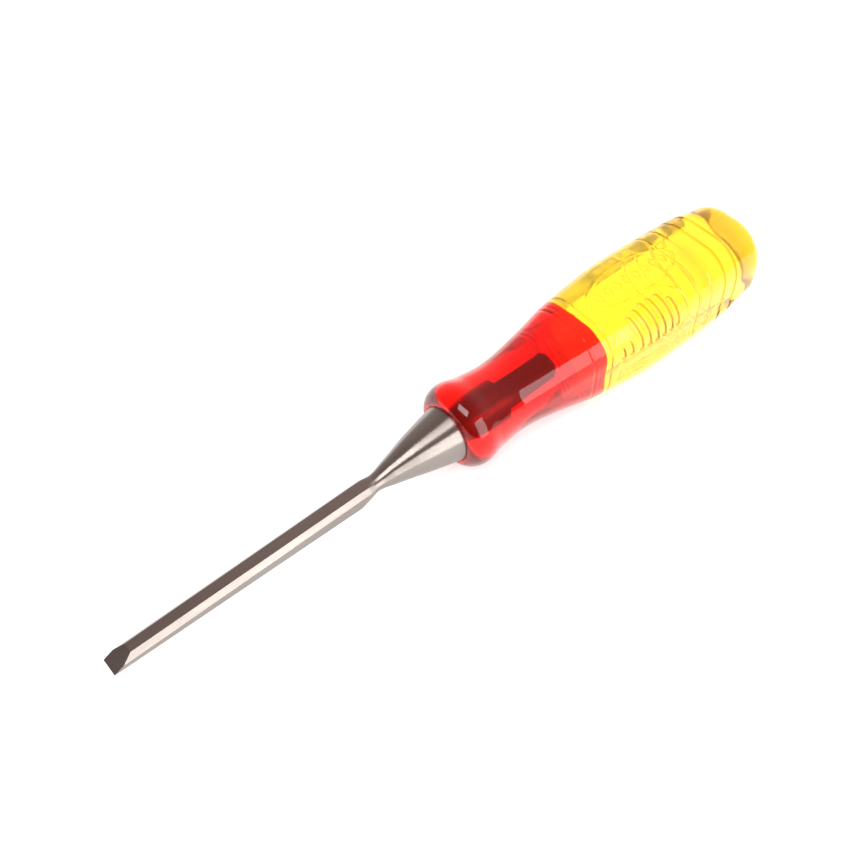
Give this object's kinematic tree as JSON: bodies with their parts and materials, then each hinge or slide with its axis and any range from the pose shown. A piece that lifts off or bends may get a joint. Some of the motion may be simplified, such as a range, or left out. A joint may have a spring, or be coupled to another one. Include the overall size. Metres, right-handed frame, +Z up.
{
  "type": "bench chisel",
  "caption": "Narrow bevel-edge wood chisel: ground steel blade with conical bolster in a clear two-colour moulded handle with grip grooves.",
  "frame": {"origin": "centre of the bounding box's underside, on the bench that the handle's bulb and belly rest on", "axes": "+X from the cutting edge to the butt, +Y to the blade's left seen from the butt, +Z up from the bench; the chisel's own axis rises 2.3 degrees along +X, as it lies"},
  "size_m": [0.2428, 0.0336, 0.0343],
  "materials": {
    "tool_steel": "ground and lightly polished",
    "red_clear_plastic": "clear, tinted red, polished",
    "yellow_clear_plastic": "clear, tinted yellow, polished"
  },
  "bodies": {
    "root": {"blade_and_tang": "tool_steel", "front_grip": "red_clear_plastic", "rear_grip": "yellow_clear_plastic"}
  },
  "joints": []
}
